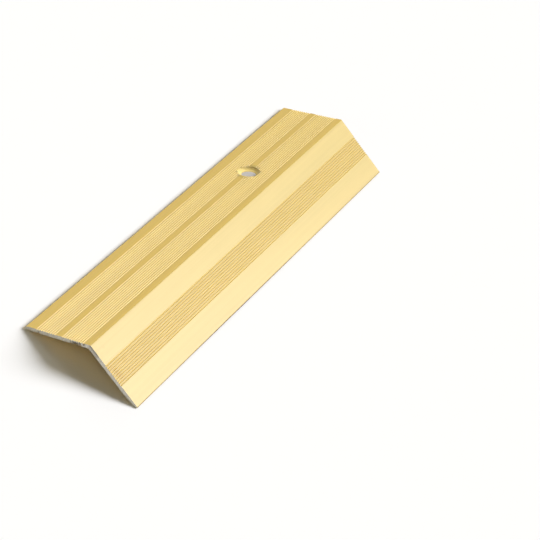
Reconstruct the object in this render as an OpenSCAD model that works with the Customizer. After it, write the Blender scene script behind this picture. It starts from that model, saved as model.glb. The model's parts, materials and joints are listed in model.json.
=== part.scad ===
// Floor transition strip: one extruded aluminium angle with fine anti-slip ridges between grooves.
// It lies as a tent on the outer edge of its flange and the foot of its ramp.
// X runs across the strip, flange to the left; Y runs along it; Z is up, with the floor at 0.

/* [Strip] */
// Length of the strip
strip_l = 190; // [90:1:2700]
// Width of the flange, from the crease to its outer edge
flange_w = 22.9; // [20:0.1:40]
// Width of the ramp, from the crease to the tip of its foot
ramp_w = 23.3; // [20:0.1:40]
// Thickness of both leaves, without the ridges
leaf_t = 1.2; // [1.2:0.1:3]
// Angle by which the ramp falls below the flange
bend = 47.6; // [30:0.1:70]
// Outside radius of the crease
crease_r = 0.4; // [0.2:0.05:1]
// Inside radius under the crease
inner_r = 0.5; // [0.2:0.05:2]

/* [Ridges] */
// Distance from one ridge to the next
ridge_pitch = 0.8; // [0.65:0.05:2]
// Depth of the grooves beside the ridges, below the plain surface
groove_depth = 0.25; // [0.1:0.05:0.5]
// Width of a groove at the surface
groove_w = 0.56; // [0.4:0.02:0.6]
// Width of a groove at its bottom
groove_floor_w = 0.1; // [0.04:0.02:0.3]
// Plain width of the flange beside the crease
crease_plain_w = 2.2; // [1:0.05:6]
// Distance from the crease to the middle of the plain band between the two ridged bands
middle_line = 11.05; // [8:0.01:14]
// Least width of the plain band between the two ridged bands
middle_plain_w = 2.14; // [1:0.01:4]
// Least plain width along the outer edge of the flange
edge_plain_w = 3.4; // [2:0.1:6]
// Plain width of the ramp beside the crease
ramp_plain_w = 7.5; // [4:0.05:10]
// Least plain width of the ramp above its foot
foot_plain_w = 8; // [4:0.1:9]

/* [Edges] */
// Thickness of the flange at its outer edge
edge_t = 1; // [0.8:0.1:1.2]
// Width over which the underside rises to that edge
edge_taper_w = 3; // [1:0.1:5]
// Radius along the top of the outer edge
edge_r = 0.5; // [0.2:0.05:0.7]
// Thickness of the ramp at the tip of its foot
foot_t = 0.35; // [0.2:0.05:0.6]
// Radius under the foot
heel_r = 3.5; // [1.6:0.1:4]

/* [Screw hole] */
// Diameter of the hole
screw_d = 5; // [3:0.1:6]
// Diameter of the countersink, level with the plain surface
head_d = 8; // [6.5:0.1:8]
// Full angle of the countersink
sink_angle = 110; // [90:1:120]
// Distance from the crease to the middle of the hole
hole_in = 10.6; // [7:0.1:13]
// Distance from the back end of the strip to the middle of the hole
hole_end_gap = 56; // [15:1:75]

/* [Hidden] */
gold = [0.86, 0.74, 0.45];
arc_step = 12;
hole_facets = 96;
// how far a cutting tool runs past a face
over = 1;

// Unit vectors in the section as laid, with the flange level: down the ramp and out of its top
down_ramp = [cos(bend), -sin(bend)];
out_of_ramp = [sin(bend), cos(bend)];
corner_in = leaf_t * tan(bend / 2);

// Each band starts at its plain border and holds as many whole grooves as fit
outer_band_start = middle_line + middle_plain_w / 2;
inner_count = groove_count(middle_line - middle_plain_w / 2 - crease_plain_w);
outer_count = groove_count(flange_w - edge_plain_w - outer_band_start);
ramp_count = groove_count(ramp_w - foot_plain_w - ramp_plain_w);

// The foot is an arc that leaves the underside of the ramp and ends at the tip
heel_drop = leaf_t - foot_t;
heel_sweep = acos(1 - heel_drop / heel_r);
heel_s = ramp_w - heel_r * sin(heel_sweep);
heel_centre = on_ramp(heel_s, heel_r - leaf_t);

// The strip rests on the corner under the outer edge and on the heel arc
edge_corner = [-flange_w, -edge_t];
rest_reach = heel_centre - edge_corner;
tilt = atan2(-rest_reach.y, rest_reach.x) + asin(heel_r / norm(rest_reach));

// Point at s down the ramp and h above its top surface
function on_ramp(s, h) = s * down_ramp + h * out_of_ramp;

// Points of an arc about a centre, from one angle to another
function arc(centre, r, from, to) =
    let (steps = max(2, ceil(abs(to - from) / arc_step)), turn = (to - from) / steps)
    [for (i = [0 : steps]) centre + r * [cos(from + i * turn), sin(from + i * turn)]];

// How many grooves, a ridge apart, fit in a width
function groove_count(room) = 1 + floor((room - groove_w) / ridge_pitch);

// Distance and height of the four corners of one groove, in the order of growing distance
function groove(middle) = [
    [middle - groove_w / 2, 0],
    [middle - groove_floor_w / 2, -groove_depth],
    [middle + groove_floor_w / 2, -groove_depth],
    [middle + groove_w / 2, 0]];

// Corners of a band of grooves that starts at a distance from the crease
function band(start, count) =
    [for (i = [0 : 1 : count - 1]) each groove(start + groove_w / 2 + i * ridge_pitch)];

function reversed(points) = [for (i = [len(points) - 1 : -1 : 0]) points[i]];
function turned(p) = [p.x * cos(tilt) - p.y * sin(tilt), p.x * sin(tilt) + p.y * cos(tilt)];

flange_grooves = concat(band(crease_plain_w, inner_count), band(outer_band_start, outer_count));
ramp_grooves = band(ramp_plain_w, ramp_count);

// The section as laid, clockwise from the corner under the outer edge
laid_section = concat(
    [edge_corner],
    arc([edge_r - flange_w, -edge_r], edge_r, 180, 90),
    [for (p = reversed(flange_grooves)) [-p.x, p.y]],
    arc([-crease_r * tan(bend / 2), -crease_r], crease_r, 90, 90 - bend),
    [for (p = ramp_grooves) on_ramp(p.x, p.y)],
    [on_ramp(ramp_w, 0)],
    arc(heel_centre, heel_r, heel_sweep - bend - 90, -bend - 90),
    arc([-corner_in - inner_r * tan(bend / 2), -leaf_t - inner_r], inner_r, 90 - bend, 90),
    [[edge_taper_w - flange_w, -leaf_t]]);

// The section as it rests, with the middle of its width at 0 and its lowest point on the floor
rest_section = [for (p = laid_section) turned(p)];
rest_x = [for (p = rest_section) p.x];
rest_z = [for (p = rest_section) p.y];
crease = [-(min(rest_x) + max(rest_x)) / 2, -min(rest_z)];

// Countersunk hole through the flange, on its own axis
module screw_hole() {
    sink_slope = tan(sink_angle / 2);
    sink_h = (head_d - screw_d) / 2 / sink_slope;
    translate([crease.x, strip_l / 2 - hole_end_gap, crease.y])
        rotate([0, -tilt, 0])
            translate([-hole_in, 0, 0]) {
                translate([0, 0, -leaf_t - over])
                    cylinder(h = leaf_t + 2 * over, d = screw_d, $fn = hole_facets);
                translate([0, 0, -sink_h])
                    cylinder(h = sink_h + over, d1 = screw_d, d2 = head_d + 2 * over * sink_slope,
                        $fn = hole_facets);
            }
}

module transition_strip() {
    color(gold)
        difference() {
            translate([crease.x, strip_l / 2, crease.y])
                rotate([90, 0, 0])
                    linear_extrude(strip_l)
                        polygon(rest_section);
            screw_hole();
        }
}

transition_strip();
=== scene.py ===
"""A pale gold floor transition strip, lying unheld on a white floor in soft studio light."""

import json
import math

import bpy
from mathutils import Matrix, Vector, noise


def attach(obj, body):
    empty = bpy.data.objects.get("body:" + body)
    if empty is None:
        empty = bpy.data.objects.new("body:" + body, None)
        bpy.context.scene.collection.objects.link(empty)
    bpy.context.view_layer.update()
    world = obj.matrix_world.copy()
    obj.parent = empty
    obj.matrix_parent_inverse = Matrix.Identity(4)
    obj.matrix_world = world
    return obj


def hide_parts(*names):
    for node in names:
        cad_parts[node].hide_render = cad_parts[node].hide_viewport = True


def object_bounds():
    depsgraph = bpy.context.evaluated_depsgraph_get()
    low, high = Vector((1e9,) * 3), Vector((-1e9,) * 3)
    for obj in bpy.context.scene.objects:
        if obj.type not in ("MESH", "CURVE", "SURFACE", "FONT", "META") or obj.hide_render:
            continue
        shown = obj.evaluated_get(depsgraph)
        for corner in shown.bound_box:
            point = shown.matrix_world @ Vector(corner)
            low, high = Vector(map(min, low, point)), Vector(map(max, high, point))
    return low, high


MM = 0.001

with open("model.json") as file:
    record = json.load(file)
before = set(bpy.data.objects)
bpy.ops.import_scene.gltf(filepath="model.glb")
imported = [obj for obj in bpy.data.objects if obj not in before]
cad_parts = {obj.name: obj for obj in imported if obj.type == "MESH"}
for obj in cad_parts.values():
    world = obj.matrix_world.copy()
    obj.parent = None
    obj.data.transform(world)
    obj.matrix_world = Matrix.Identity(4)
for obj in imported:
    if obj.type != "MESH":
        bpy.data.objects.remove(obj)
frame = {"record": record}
CAD_LOW, CAD_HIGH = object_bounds()

# Section of the strip, in millimetres, as it is laid with its flange level
FLANGE_W = 22.9
RAMP_W = 23.3
LEAF_T = 1.2
BEND = math.radians(47.6)
CREASE_R = 0.4
INNER_R = 0.5

# Ridges: their pitch, the grooves beside them, and where each band starts and how many grooves it holds
RIDGE_PITCH = 0.8
GROOVE_DEPTH = 0.25
GROOVE_W = 0.56
GROOVE_FLOOR_W = 0.10
GROOVE_SOFTNESS = 0.2
INNER_BAND = (2.2, 10)
OUTER_BAND = (12.12, 9)
RAMP_BAND = (7.5, 10)

# Outer edge of the flange and foot of the ramp, whose tip carries dirt and painted shade
EDGE_T = 1.0
EDGE_TAPER_W = 3.0
EDGE_R = 0.5
FOOT_T = 0.35
FOOT_R = 0.12
HEEL_R = 3.5
DIRTY_SHADED_RIM_W = 0.26
DIRTY_SHADED_FROM = RAMP_W - DIRTY_SHADED_RIM_W

# Countersunk screw hole
SCREW_D = 5.0
HEAD_D = 8.0
SINK_ANGLE = math.radians(110)
HOLE_IN = 10.6
HOLE_FACETS = 160
CUTTER_OVER = 1
CONE_RINGS = (0.25, 0.5, 0.75, 1.0, 1.6)

# How finely the mesh follows the section, the least gap between columns and the slack in comparing them
ARC_STEP = math.radians(9)
GROOVE_STEPS = 12
PLAIN_STEP = 0.22
DEPTH_ROWS = 12
LEAST_GAP = 0.02
SLACK = 0.001
SMOOTH_UP_TO = math.radians(32)

# Where the section is repeated: near each end, at the front end's stains, round the hole and between them
NEAR_END = (0, 0.08, 0.25, 0.6, 1.2, 1.8, 2.4)
STAINED = (3.6, 4.2, 4.8, 5.4)
SECTION_STEP = 20
HOLE_REACH = 6
HOLE_STEP = 3

# Sawn ends: how far in and how deep their roughness goes, and how far the front cut runs off square
END_REACH = 3.0
ROUGH_DEPTH = 0.05
FLANGE_SAW_SLOPE = 0.083
RAMP_SAW_SLOPE = 0.014
TIP_BURR = 0.25
TIP_BURR_FROM = 21.9

# Damage of the front cut: chips, as middle, half width and strength, a dot and a burr beside the crease
CHIPS = ((-5.2, 1.4, 1.0), (-3.6, 0.6, 0.7), (-6.9, 0.6, 0.5))
CHIP_DEPTH = 0.6
DOT = (-18.3, 0.5)
BURR_SPAN = (-0.3, 4.4)
BURR_DEPTH = 0.12

# Painted shade of the front cut, in and beside its chips, in its nicks, along the ramp's top and at the
# foot, as middle and half width or as a span, and how much painted shade darkens the back cut where the key
# lamp lights it
SHADED_CHIPS = (-5.2, 1.8)
UPPER_NICK = (-2.3, 0.6)
WHOLE_NICK = (-3.7, 0.6)
SHADED_TOP = (-0.4, 4.7)
SHADED_FOOT_FROM = 15
BACK_SHADE = 0.55

# Dirt on the gold: middle and half width across, then middle and half length from the front end
SMUDGE = (11.6, 3.6, 2.6, 2.0)
SMUDGE_LEAN = 0.25
CORNER = (8.9, 1.6, 1.4, 2.0)
SPOT = (3.1, 0.7, 4.6, 0.9)
# Dirt and painted shade along the foot's tip: middle and half length from the front end, and the least of it
RIM_DIRT_AND_SHADE = (70, 65)
RIM_DIRT_AND_SHADE_LEAST = 0.45

# Scale of the gold's painted light and shade: one step for a ridge, one more for a groove, and where the
# flange's paler tones start
PAINTED_BAND_STEP = 0.2
FLANGE_PAINTED_LIGHT = 0.6
BORDER_W = 0.3

# Material slots of the mesh
GOLD, SAWN, SINK, SOILED_AND_SHADED = 0, 1, 2, 3

# The frame says where the hole is, and the section hangs on its axis
HOLE = next(m for m in frame["record"]["mounts"] if m["name"] == "screw_hole")
HOLE_MIDDLE = Vector(HOLE["pos_m"])
OUT = Vector(HOLE["axis"]).normalized()
ACROSS = Vector((OUT.z, 0, -OUT.x))
ALONG = Vector((0, 1, 0))
CREASE = HOLE_MIDDLE + (ACROSS * HOLE_IN + OUT * (LEAF_T - HOLE["dims"]["length_mm"] / 2)) * MM
FRONT = CAD_LOW.y
LENGTH = (CAD_HIGH.y - CAD_LOW.y) / MM
HOLE_ALONG = (HOLE_MIDDLE.y - FRONT) / MM


def laid(across, along, height):
    """A point of the laid strip: across from the crease, along from the front end, above the flange."""
    return Vector((CREASE.x, FRONT, CREASE.z)) + (ACROSS * across + ALONG * along + OUT * height) * MM


def on_ramp(s, height):
    """Across and height, as laid, of a point s down the ramp and a height above it."""
    return (s * math.cos(BEND) + height * math.sin(BEND), height * math.cos(BEND) - s * math.sin(BEND))


def spread(low, high, step):
    """Evenly spaced values from low to high, no further apart than step."""
    count = max(1, math.ceil((high - low) / step - 1e-6))
    return [low + (high - low) * i / count for i in range(count + 1)]


def smooth(t):
    """Soft step from 0 to 1."""
    t = min(1.0, max(0.0, t))
    return t * t * (3 - 2 * t)


def hill(value, middle, half_width):
    """Soft hill of height 1 round a middle."""
    return smooth(1 - abs(value - middle) / half_width)


def grain(a, b, layer):
    """Noise round 0 of two values, with a pattern of its own for each layer."""
    return noise.noise(Vector((a, b, layer)))


def groove_depth(distance, bands):
    """Depth of the grooves at a distance from the crease."""
    for start, count in bands:
        into = distance - start
        if 0 <= into <= (count - 1) * RIDGE_PITCH + GROOVE_W:
            from_wall = GROOVE_W / 2 - abs(into % RIDGE_PITCH - GROOVE_W / 2)
            down = min(1.0, max(0.0, 2 * from_wall / (GROOVE_W - GROOVE_FLOOR_W)))
            return GROOVE_DEPTH * ((1 - GROOVE_SOFTNESS) * down + GROOVE_SOFTNESS * smooth(down))
    return 0.0


def leaf_distances(bands, last):
    """Distances from the crease at which a leaf has a column of points, from the crease's fan to last."""
    first = (LEAF_T + INNER_R) * math.tan(BEND / 2)
    found = []
    for start, count in bands:
        for i in range(count):
            groove = start + i * RIDGE_PITCH
            found += spread(first, groove, PLAIN_STEP)
            first = groove + GROOVE_W
            found += spread(groove, first, GROOVE_W / GROOVE_STEPS)
    found += spread(first, last, PLAIN_STEP)
    return sorted({round(d, 4) for d in found})


def rounded(distance, last, radius):
    """Drop of a rounded edge at a distance: none before last - radius, the whole radius at last."""
    over = min(radius, max(0.0, distance - last + radius))
    return radius - math.sqrt(radius ** 2 - over ** 2)


def edge_arc(last, radius):
    """Distances of the points of a rounded edge that ends at last."""
    return [last - radius + radius * math.sin(a) for a in spread(0, math.pi / 2, ARC_STEP)]


def flange_columns():
    """Distance, top and bottom of each column of the flange, from its outer edge to the crease."""
    bands = (INNER_BAND, OUTER_BAND)
    distances = leaf_distances(bands, FLANGE_W - EDGE_R) + edge_arc(FLANGE_W, EDGE_R)[1:]
    columns = []
    for d in reversed(distances):
        top = -groove_depth(d, bands) - rounded(d, FLANGE_W, EDGE_R)
        rise = max(0.0, d - FLANGE_W + EDGE_TAPER_W) / EDGE_TAPER_W
        columns.append((-d, (-d, top), (-d, -LEAF_T + rise * (LEAF_T - EDGE_T))))
    return columns


def crease_columns():
    """Distance, top and bottom of the columns that fan round the crease, between those of the leaves."""
    reach = (LEAF_T + INNER_R) * math.tan(BEND / 2)
    tangent = CREASE_R * math.tan(BEND / 2)
    angles = spread(0, BEND, ARC_STEP)
    arc = [(CREASE_R * math.sin(a) - tangent, CREASE_R * math.cos(a) - CREASE_R) for a in angles]
    path = [(-reach, 0.0)] + arc + [on_ramp(reach, 0.0)]
    lengths = [0.0]
    for a, b in zip(path, path[1:]):
        lengths.append(lengths[-1] + math.dist(a, b))
    columns = []
    for point, length in list(zip(path, lengths))[1:-1]:
        a = BEND * length / lengths[-1]
        under = (INNER_R * math.sin(a) - reach, INNER_R * math.cos(a) - INNER_R - LEAF_T)
        columns.append((length - lengths[-1] / 2, point, under))
    return columns


def ramp_columns():
    """Distance, top and bottom of each column of the ramp, from the crease to the tip of its foot."""
    sweep = math.acos(1 - (LEAF_T - FOOT_T) / HEEL_R)
    heel_s = RAMP_W - HEEL_R * math.sin(sweep)
    distances = leaf_distances((RAMP_BAND,), heel_s)[:-1]
    distances += [heel_s + HEEL_R * math.sin(a) for a in spread(0, sweep, ARC_STEP / 2)]
    distances = [d for d in distances if d < DIRTY_SHADED_FROM - LEAST_GAP] + [DIRTY_SHADED_FROM]
    distances += edge_arc(RAMP_W, FOOT_R)
    columns = []
    for d in distances:
        top = -groove_depth(d, (RAMP_BAND,)) - rounded(d, RAMP_W, FOOT_R)
        past = max(0.0, d - heel_s)
        bottom = HEEL_R - math.sqrt(HEEL_R ** 2 - past ** 2) - LEAF_T
        columns.append((d, on_ramp(d, top), on_ramp(d, bottom)))
    return columns


def chip(place, depth):
    """How much of the front end is broken out at a distance from the crease and a share of the depth."""
    torn = 0.7 + grain(place * 2.6, depth * 2.2, 3.0)
    under = smooth((depth - 0.25) / 0.45)
    broken = max(strength * hill(place, middle, half) for middle, half, strength in CHIPS) * under
    dot = hill(place, *DOT) * smooth((depth - 0.45) / 0.3)
    return min(1.0, max(broken * torn * 1.3, 0.7 * dot))


def burr(place, depth):
    """How much of the front end is torn back along the top of the ramp, beside the crease."""
    torn = 0.75 + 0.5 * grain(place * 1.9, depth * 3.0, 9.0)
    begun = smooth((place - BURR_SPAN[0]) / 0.8)
    return torn * begun * smooth((BURR_SPAN[1] - place) / 1.1) * smooth((0.66 - depth) / 0.35)


def skew(place):
    """How far the front cut runs off square, in mm, with a small burr left at the flange's outer edge."""
    if place >= 0:
        return RAMP_SAW_SLOPE * place
    return FLANGE_SAW_SLOPE * -place * (1 - TIP_BURR * smooth(-place - TIP_BURR_FROM))


def saw_depth(place, depth, end):
    """How far the sawn face lies inside the end, in mm."""
    layer = 31.0 * end
    rough = 0.5 + 0.5 * grain(place * 1.1, depth * 1.4, layer)
    fine = 0.5 + 0.5 * grain(place * 3.7, depth * 4.0, layer + 7)
    found = ROUGH_DEPTH * rough + ROUGH_DEPTH * fine
    if end == 0:
        found += skew(place) + CHIP_DEPTH * chip(place, depth) + BURR_DEPTH * burr(place, depth)
    return found


def pushed(along, place, depth):
    """Distance from the front end once the sawn faces are rough."""
    for end, from_end in ((0, along), (1, LENGTH - along)):
        if from_end < END_REACH:
            shift = saw_depth(place, depth, end) * (1 - from_end / END_REACH)
            return along - shift if end else along + shift
    return along


def front_dirt_and_shade(place, depth):
    """How dark the sawn front face is painted: painted shade in and beside its chips and nicks, along the
    ramp's top and at the foot, over a faint cloud of dirt.
    """
    cloud = 0.5 + grain(place * 1.7, depth * 3.0, 5.0)
    chips = hill(place, *SHADED_CHIPS) * smooth((depth - 0.1) / 0.3) * (0.6 + cloud)
    upper_nick = hill(place, *UPPER_NICK) * smooth((0.75 - depth) / 0.3)
    whole_nick = 0.8 * hill(place, *WHOLE_NICK)
    span = smooth((place - SHADED_TOP[0]) / 0.5) * smooth((SHADED_TOP[1] - place) / 0.8)
    top = span * (0.3 + 0.35 * smooth((0.6 - depth) / 0.4))
    foot = smooth((place - SHADED_FOOT_FROM) / 6) * smooth((depth - 0.62) / 0.3) * 0.7
    return min(1.0, max(chip(place, depth), chips, upper_nick, whole_nick, top, foot) + 0.12 * cloud)


def patch(place, along, where, lean=0.0):
    """Soft patch on the top, which may lean along the strip."""
    middle, half_width, middle_along, half_length = where
    return hill(place, middle, half_width) * hill(along, middle_along + lean * (place - middle), half_length)


def stain(along, place):
    """Brown smudge across the ramp's ridges near the front end, and a small spot above it."""
    cloud = 0.75 + 0.5 * grain(place * 0.9, along * 1.6, 17.0)
    smudge = max(patch(place, along, SMUDGE, SMUDGE_LEAN), 0.6 * patch(place, along, CORNER))
    return min(1.0, smudge * cloud + 0.25 * patch(place, along, SPOT))


def rim_shade_and_dirt(along):
    """How dark the tip of the foot is, by dirt and painted shade, at a distance from the front end."""
    return RIM_DIRT_AND_SHADE_LEAST + (1 - RIM_DIRT_AND_SHADE_LEAST) * hill(along, *RIM_DIRT_AND_SHADE)


def on_dirty_shaded_rim(place):
    """Whether a distance from the crease lies on the tip of the foot, which carries dirt and painted shade.
    """
    return place > DIRTY_SHADED_FROM - SLACK


def dirt_and_shade_at(along, place, depth):
    """How dark a point of the strip is painted, by dirt and by painted shade."""
    inside = 0 < depth < 1
    if along == 0 and inside:
        return front_dirt_and_shade(place, depth)
    if along == LENGTH and inside:
        # Painted shade: the back cut is darkened where the key lamp lights it
        return BACK_SHADE
    if on_dirty_shaded_rim(place):
        return rim_shade_and_dirt(along)
    return stain(along, place) if depth == 0 else 0.0


def band_share(distance, bands):
    """Share of a distance from the crease in a band of grooves, with a soft step at its borders."""
    shares = []
    for start, count in bands:
        end = start + (count - 1) * RIDGE_PITCH + GROOVE_W
        shares.append(smooth((distance - start) / BORDER_W) * smooth((end - distance) / BORDER_W))
    return max(shares)


def painted_leaf_light(place):
    """Place on the scale of the gold's painted light and shade: plain, ridge and groove of the ramp, then of
    the flange.
    """
    bands = (RAMP_BAND,) if place >= 0 else (INNER_BAND, OUTER_BAND)
    ridge = PAINTED_BAND_STEP * band_share(abs(place), bands)
    groove = PAINTED_BAND_STEP * groove_depth(abs(place), bands) / GROOVE_DEPTH
    return ridge + groove + (0 if place >= 0 else FLANGE_PAINTED_LIGHT)


def stations():
    """Distances from the front end at which the section is repeated."""
    near = list(NEAR_END) + [END_REACH]
    hole = spread(HOLE_ALONG - HOLE_REACH, HOLE_ALONG + HOLE_REACH, HOLE_STEP)
    before = spread(STAINED[-1], hole[0], SECTION_STEP)[1:-1]
    behind = spread(hole[-1], LENGTH - END_REACH, SECTION_STEP)[1:-1]
    return near + list(STAINED) + before + hole + behind + [LENGTH - y for y in reversed(near)]


def between(column, row):
    """Point of a column at a row: across, height, distance from the crease and share of the depth."""
    place, top, bottom = column
    t = row / DEPTH_ROWS
    return (top[0] + (bottom[0] - top[0]) * t, top[1] + (bottom[1] - top[1]) * t, place, t)


def ring_cells(last):
    """Row and column of each point round the section: top, foot, underside and outer edge."""
    top = [(0, i) for i in range(last + 1)]
    foot = [(row, last) for row in range(1, DEPTH_ROWS)]
    underside = [(DEPTH_ROWS, last - i) for i in range(last + 1)]
    edge = [(DEPTH_ROWS - row, 0) for row in range(1, DEPTH_ROWS)]
    return top + foot + underside + edge


def strip_mesh():
    """The strip before its hole is cut: a closed mesh with anodised sides and sawn ends."""
    columns = flange_columns() + crease_columns() + ramp_columns()
    last = len(columns) - 1
    ring = ring_cells(last)
    size = len(ring)
    at = stations()
    points = []
    dirt_and_shade = []
    tone = []
    faces = []
    finish = []

    def add(along, cell):
        x, z, place, t = between(columns[cell[1]], cell[0])
        points.append(tuple(laid(x, pushed(along, place, t), z)))
        # Dirt and painted shade of each point, and its place on the scale of the gold's painted light and
        # shade
        dirt_and_shade.append(dirt_and_shade_at(along, place, t))
        tone.append(painted_leaf_light(place))
        return len(points) - 1

    for along in at:
        for cell in ring:
            add(along, cell)
    for k in range(len(at) - 1):
        for i in range(size):
            j = (i + 1) % size
            faces.append((k * size + i, (k + 1) * size + i, (k + 1) * size + j, k * size + j))
            on_rim = on_dirty_shaded_rim(min(columns[ring[i][1]][0], columns[ring[j][1]][0]))
            finish.append(SOILED_AND_SHADED if on_rim else GOLD)
    for end in (0, 1):
        base = (len(at) - 1) * size * end
        index = {cell: base + i for i, cell in enumerate(ring)}
        for r in range(1, DEPTH_ROWS):
            for i in range(1, last):
                index[(r, i)] = add(LENGTH * end, (r, i))
        for r in range(DEPTH_ROWS):
            for i in range(last):
                quad = (index[(r, i)], index[(r, i + 1)], index[(r + 1, i + 1)], index[(r + 1, i)])
                faces.append(quad[::-1] if end else quad)
                finish.append(SAWN)
    mesh = bpy.data.meshes.new("strip_body")
    mesh.from_pydata(points, [], faces)
    mesh.polygons.foreach_set("material_index", finish)
    for name, values in (("dirt_and_shade", dirt_and_shade), ("tone", tone)):
        mesh.attributes.new(name, "FLOAT", "POINT").data.foreach_set("value", values)
    mesh.update()
    return mesh


def cutter_mesh():
    """The screw hole as a turned solid: a straight shank below a cone."""
    shank = SCREW_D / 2
    flare = HEAD_D / 2 - shank
    sink_h = flare / math.tan(SINK_ANGLE / 2)
    profile = [(shank, -LEAF_T - CUTTER_OVER), (shank, -sink_h)]
    profile += [(shank + flare * t, sink_h * (t - 1)) for t in CONE_RINGS]
    turns = [2 * math.pi * i / HOLE_FACETS for i in range(HOLE_FACETS)]
    points = []
    for r, z in profile:
        for a in turns:
            points.append(tuple(laid(r * math.cos(a) - HOLE_IN, HOLE_ALONG + r * math.sin(a), z)))
    faces = [tuple(range(HOLE_FACETS))[::-1]]
    for k in range(len(profile) - 1):
        for i in range(HOLE_FACETS):
            j = (i + 1) % HOLE_FACETS
            a, b = k * HOLE_FACETS, (k + 1) * HOLE_FACETS
            faces.append((a + i, a + j, b + j, b + i))
    faces.append(tuple(range(len(points) - HOLE_FACETS, len(points))))
    mesh = bpy.data.meshes.new("hole_cutter")
    mesh.from_pydata(points, [], faces)
    mesh.polygons.foreach_set("material_index", [SINK] * len(faces))
    return mesh


def node(tree, kind, inputs=(), **settings):
    """New shader node with its settings and its inputs, which are numbers, colours or other outputs."""
    made = tree.nodes.new("ShaderNode" + kind)
    for name, value in settings.items():
        setattr(made, name, value)
    for key, value in dict(inputs).items():
        if isinstance(value, bpy.types.NodeSocket):
            tree.links.new(value, made.inputs[key])
        else:
            made.inputs[key].default_value = value
    return made


def scaled_noise(tree, scale, detail=2.0, roughness=0.5):
    """Noise of the object's own coordinates, with a scale in 1/m for each axis."""
    place = node(tree, "TexCoord").outputs["Object"]
    mapped = node(tree, "Mapping", {"Vector": place, "Scale": scale}).outputs["Vector"]
    inputs = {"Vector": mapped, "Scale": 1.0, "Detail": detail, "Roughness": roughness}
    return node(tree, "TexNoise", inputs).outputs["Fac"]


def ranged(tree, value, low, high, from_low=0.25, from_high=0.75):
    """A value carried from one range to another."""
    made = node(tree, "MapRange", {"Value": value, "From Min": from_low, "From Max": from_high,
                                   "To Min": low, "To Max": high})
    return made.outputs["Result"]


def mixed(tree, factor, a, b):
    """Colour a mixed with colour b."""
    made = node(tree, "Mix", {0: factor, 6: a, 7: b}, data_type="RGBA")
    return made.outputs[2]


def graded(tree, value, stops):
    """Colour of a value on a scale of colours, which are given as value and colour."""
    made = node(tree, "ValToRGB", {"Fac": value})
    scale = made.color_ramp.elements
    for element, (place, colour) in zip(scale, (stops[0], stops[-1])):
        element.position = place
        element.color = colour
    for place, colour in stops[1:-1]:
        scale.new(place).color = colour
    return made.outputs["Color"]


def maths(tree, kind, a, b=0.5):
    """Sum, product or other simple result of two values."""
    return node(tree, "Math", {0: a, 1: b}, operation=kind).outputs[0]


def dirt_and_shade_share(tree):
    """How dark the surface is painted, by dirt and painted shade, as the mesh says."""
    return node(tree, "Attribute", attribute_name="dirt_and_shade").outputs["Fac"]


def new_material(name):
    """An empty material, its tree and its Principled shader."""
    made = bpy.data.materials.new(name)
    made.use_nodes = True
    return made, made.node_tree, made.node_tree.nodes["Principled BSDF"]


def set_inputs(shader, values):
    """Plain numbers and colours of a shader's sockets."""
    for key, value in values.items():
        shader.inputs[key].default_value = value


def set_look(tree, shader, tone, height, strength, distance, values):
    """Colour, bumps and plain numbers of a shader."""
    tree.links.new(tone, shader.inputs["Base Color"])
    bump = node(tree, "Bump", {"Height": height, "Strength": strength, "Distance": distance})
    tree.links.new(bump.outputs["Normal"], shader.inputs["Normal"])
    set_inputs(shader, values)


# Tones of the gold, with painted light and shade: plain surface, ridges and grooves, first of the ramp and
# then of the flange. The ramp is painted deeper and the flange paler, and the ridges and grooves lighter or
# darker, to stand in for how the lamps light and shade each of them
GOLD_PAINTED_LIGHT = (
    (0.0, (0.712, 0.587, 0.168, 1)), (0.2, (0.66, 0.53, 0.165, 1)), (0.4, (0.82, 0.68, 0.22, 1)),
    (0.6, (0.91, 0.74, 0.243, 1)), (0.8, (0.945, 0.80, 0.29, 1)), (1.0, (0.965, 0.84, 0.31, 1)))

# Variation of the gold: fine drawing lines, pale mottle, broad streaks and brown dirt
DRAWN_LINE = (0.72, 0.55, 0.17, 1)
PALE_MOTTLE = (0.94, 0.78, 0.36, 1)
BROAD_STREAK = (0.74, 0.56, 0.18, 1)
BROWN_DIRT = (0.62, 0.405, 0.055, 1)

# Bare metal of the saw cuts, from its dark to its bright saw marks, its warm patches, and the colour of its
# painted shade and dirt
SAWN_DARK = (0.62, 0.61, 0.57, 1)
SAWN_BRIGHT = (0.92, 0.92, 0.89, 1)
SAWN_WARM = (0.72, 0.67, 0.54, 1)
SAWN_SHADE_AND_DIRT = (0.10, 0.085, 0.055, 1)

# Turned wall of the countersink, and how far apart the rings of its cutter are
TURNED_DARK = (0.78, 0.63, 0.24, 1)
TURNED_PALE = (0.88, 0.74, 0.33, 1)
RING_PITCH = 0.12 * MM

# Tip of the foot: gold under dark and pale brown, partly dirt and partly painted shade
RIM_GOLD = (0.52, 0.41, 0.17, 1)
RIM_DARK = (0.13, 0.095, 0.045, 1)
RIM_PALE = (0.22, 0.165, 0.08, 1)


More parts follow.
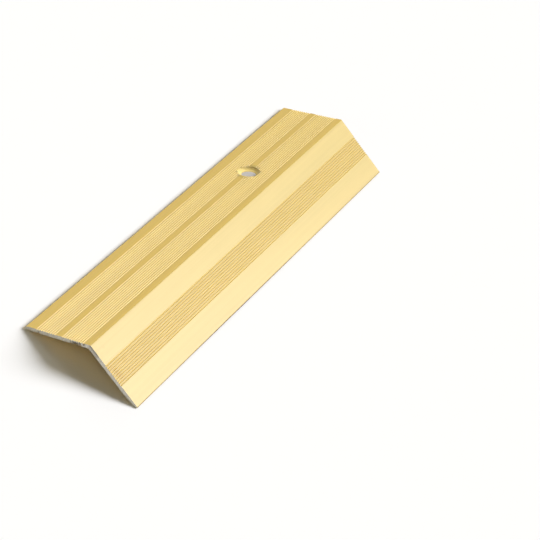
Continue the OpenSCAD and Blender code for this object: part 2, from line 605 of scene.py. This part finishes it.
def anodised_gold():
    """Satin pale gold anodised aluminium, with faint drawing lines along the strip."""
    material, tree, shader = new_material("anodised_gold")
    streaks = scaled_noise(tree, (1500, 9, 1500), 3)
    mottle = scaled_noise(tree, (160, 45, 160), 3)
    broad = scaled_noise(tree, (320, 6, 320), 2)
    # Painted light and shade: the tone scale lightens or darkens each leaf, band and groove as the lamps
    # would
    tone = graded(tree, node(tree, "Attribute", attribute_name="tone").outputs["Fac"], GOLD_PAINTED_LIGHT)
    tone = mixed(tree, ranged(tree, streaks, 0.2, 0), tone, DRAWN_LINE)
    tone = mixed(tree, ranged(tree, mottle, 0, 0.1), tone, PALE_MOTTLE)
    tone = mixed(tree, ranged(tree, broad, 0.12, 0, 0.35, 0.65), tone, BROAD_STREAK)
    tone = mixed(tree, maths(tree, "MULTIPLY", dirt_and_shade_share(tree), 0.6), tone, BROWN_DIRT)
    tree.links.new(ranged(tree, streaks, 0.92, 0.98), shader.inputs["Roughness"])
    grains = scaled_noise(tree, (7000, 2500, 7000), 2)
    lines = scaled_noise(tree, (9000, 30, 9000), 2)
    height = maths(tree, "ADD", maths(tree, "MULTIPLY", grains, 0.5), lines)
    set_look(tree, shader, tone, height, 0.15, 0.00003,
             {"Metallic": 1.0, "Coat Weight": 0.69, "Coat Roughness": 0.33, "Coat IOR": 1.5})
    return material


def sawn_aluminium():
    """Bare grey aluminium of the saw cuts, with saw marks through the thickness, and painted shade in its
    chips, along its edges and over the back cut, with a little dirt.
    """
    material, tree, shader = new_material("sawn_aluminium")
    marks = scaled_noise(tree, (2600, 2600, 500), 3, 0.6)
    patches = scaled_noise(tree, (700, 700, 700), 2)
    tone = mixed(tree, ranged(tree, marks, 0, 1), SAWN_DARK, SAWN_BRIGHT)
    tone = mixed(tree, ranged(tree, patches, 0, 0.6), tone, SAWN_WARM)
    # Painted shade with a little dirt, from the mesh: dark in chips, nicks, the torn top, the foot and over
    # the back cut
    tone = mixed(tree, maths(tree, "MULTIPLY", dirt_and_shade_share(tree), 0.9), tone, SAWN_SHADE_AND_DIRT)
    set_look(tree, shader, tone, marks, 0.4, 0.00005, {"Metallic": 0.3, "Roughness": 0.55})
    return material


def turned_gold():
    """Anodised wall of the countersink, with the rings that its cutter left."""
    material, tree, shader = new_material("turned_gold")
    mottle = scaled_noise(tree, (900, 900, 900), 2)
    tone = mixed(tree, ranged(tree, mottle, 0, 1), TURNED_DARK, TURNED_PALE)
    place = node(tree, "TexCoord").outputs["Object"]
    depth = node(tree, "VectorMath", {0: place, 1: tuple(OUT)}, operation="DOT_PRODUCT").outputs["Value"]
    rings = maths(tree, "SINE", maths(tree, "MULTIPLY", depth, 2 * math.pi / RING_PITCH))
    set_look(tree, shader, tone, rings, 0.25, 0.00002,
             {"Metallic": 0.8, "Roughness": 0.8, "Coat Weight": 0.5, "Coat Roughness": 0.4})
    return material


def dirty_shaded_rim():
    """Gold of the foot's tip under dark brown, partly dirt settled along it and partly painted shade."""
    material, tree, shader = new_material("dirty_shaded_rim")
    spots = scaled_noise(tree, (900, 120, 900), 3)
    brown = mixed(tree, ranged(tree, spots, 0, 1), RIM_DARK, RIM_PALE)
    # Painted shade and dirt: the foot's tip is darkened towards brown
    tone = mixed(tree, dirt_and_shade_share(tree), RIM_GOLD, brown)
    set_look(tree, shader, tone, spots, 0.2, 0.00003, {"Roughness": 1.0, "Specular IOR Level": 0.1})
    return material


def build_strip(materials):
    """The strip with its hole cut, its edges marked and its materials on."""
    body = bpy.data.objects.new("strip_body", strip_mesh())
    cutter = bpy.data.objects.new("hole_cutter", cutter_mesh())
    for made in (body, cutter):
        bpy.context.collection.objects.link(made)
    for material in materials:
        body.data.materials.append(material)
    cut = body.modifiers.new("hole", "BOOLEAN")
    cut.object = cutter
    cut.operation = "DIFFERENCE"
    cut.solver = "EXACT"
    cut.material_mode = "INDEX"
    bpy.context.view_layer.update()
    done = bpy.data.meshes.new_from_object(body.evaluated_get(bpy.context.evaluated_depsgraph_get()))
    body.modifiers.clear()
    body.data = done
    bpy.data.objects.remove(cutter)
    done.polygons.foreach_set("use_smooth", [True] * len(done.polygons))
    done.set_sharp_from_angle(angle=SMOOTH_UP_TO)
    return body


strip = build_strip([anodised_gold(), sawn_aluminium(), turned_gold(), dirty_shaded_rim()])
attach(strip, "root")
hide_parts("transition_strip")

# Camera: where the photo's stood, above the laid strip
EYE = laid(309.7, -578.0, 358.3)
AIM = laid(26.6, 69.9, 0.0)
ROLL = math.radians(1.955)
LENS = 168.04
SENSOR_W = 36
VIEW_END = 20

# White floor, out to half its width
FLOOR_HALF = 4.0
FLOOR_WHITE = (0.97, 0.97, 0.97, 1)

# Distant lamps: name, where it shines from, share of a white floor's light, width in degrees and tone
LAMPS = (
    ("key", Vector((0.54, 0.642, 0.545)), 0.77, 32, (1, 1.01, 1.06)),
    ("fill", Vector((0.0, -0.87, 0.50)), 0.08, 60, (1, 0.91, 0.66)),
    ("rim", Vector((-0.62, 0.55, 0.55)), 0.085, 40, (1, 0.96, 0.84)))

# Room and backdrop: strength and tone of the room's light, and how high the metal sees the backdrop
ROOM = 0.11
ROOM_TONE = (1, 0.91, 0.66, 1)
WHITE = (1, 1, 1, 1)
BACKDROP_TOP = 0.05
BACKDROP_FADE = 0.02

# Spot down the hole: power, distance, shift of its aim across the strip, angle, edge, size and squeeze
PIN_POWER = 0.9
PIN_REACH = 0.15
PIN_SHIFT = -0.3
PIN_ANGLE = math.radians(2.7)
PIN_BLEND = 0.6
PIN_SIZE = 0.0005
PIN_SQUEEZE = 0.48


def link(name, data, matrix):
    """New object from data, at a matrix."""
    made = bpy.data.objects.new(name, data)
    made.matrix_world = matrix
    bpy.context.collection.objects.link(made)
    return made


def looking(eye, aim, up, roll=0.0):
    """Matrix of a camera or lamp at eye that looks at aim."""
    back = (eye - aim).normalized()
    side = up.cross(back).normalized()
    top = back.cross(side)
    right = side * math.cos(roll) + top * math.sin(roll)
    rolled_top = top * math.cos(roll) - side * math.sin(roll)
    return Matrix.Translation(eye) @ Matrix((right, rolled_top, back)).transposed().to_4x4()


def add_camera():
    """The photo's camera, which stood level with the flange."""
    data = bpy.data.cameras.new("camera")
    data.lens = LENS
    data.sensor_width = SENSOR_W
    data.clip_end = VIEW_END
    bpy.context.scene.camera = link("camera", data, looking(EYE, AIM, OUT, ROLL))


def add_floor():
    """Wide white floor."""
    half = FLOOR_HALF
    corners = [(-half, -half, 0), (half, -half, 0), (half, half, 0), (-half, half, 0)]
    data = bpy.data.meshes.new("floor")
    data.from_pydata(corners, [], [(0, 1, 2, 3)])
    material, _, shader = new_material("floor")
    set_inputs(shader, {"Base Color": FLOOR_WHITE, "Roughness": 0.9, "Specular IOR Level": 0.0})
    data.materials.append(material)
    link("floor", data, Matrix.Identity(4))


def add_lamp(name, towards, share, width, tone):
    """Distant lamp as wide as an angle in degrees."""
    towards = towards.normalized()
    data = bpy.data.lights.new(name, "SUN")
    data.energy = share * math.pi / towards.z
    data.angle = math.radians(width)
    data.color = tone
    link(name, data, looking(towards, Vector(), Vector((0, 0.1, 1))))


def add_pin():
    """Small spot that shines down the screw hole, so that the floor under it shows."""
    aim = laid(PIN_SHIFT - HOLE_IN, HOLE_ALONG, -LEAF_T / 2)
    eye = aim + (EYE - aim).normalized() * PIN_REACH
    data = bpy.data.lights.new("pin", "SPOT")
    data.energy = PIN_POWER
    data.spot_size = PIN_ANGLE
    data.spot_blend = PIN_BLEND
    data.shadow_soft_size = PIN_SIZE
    link("pin", data, looking(eye, aim, OUT) @ Matrix.Diagonal((1, PIN_SQUEEZE, 1, 1)))


def add_room():
    """Dim warm light from all round, before a white backdrop that the camera and the metal see."""
    world = bpy.data.worlds.new("room")
    world.use_nodes = True
    tree = world.node_tree
    path = node(tree, "LightPath").outputs
    towards = node(tree, "TexCoord").outputs["Generated"]
    height = node(tree, "SeparateXYZ", {"Vector": towards}).outputs["Z"]
    low_down = ranged(tree, height, 1.0, 0.0, BACKDROP_TOP, BACKDROP_TOP + BACKDROP_FADE)
    bounced = maths(tree, "MAXIMUM", path["Is Glossy Ray"], path["Is Transmission Ray"])
    seen = maths(tree, "MAXIMUM", path["Is Camera Ray"], maths(tree, "MULTIPLY", bounced, low_down))
    shader = tree.nodes["Background"]
    tree.links.new(mixed(tree, seen, ROOM_TONE, WHITE), shader.inputs["Color"])
    tree.links.new(ranged(tree, seen, ROOM, 1.0, 0.0, 1.0), shader.inputs["Strength"])
    bpy.context.scene.world = world


add_camera()
add_floor()
for lamp in LAMPS:
    add_lamp(*lamp)
add_pin()
add_room()
bpy.context.scene.view_settings.view_transform = "Standard"
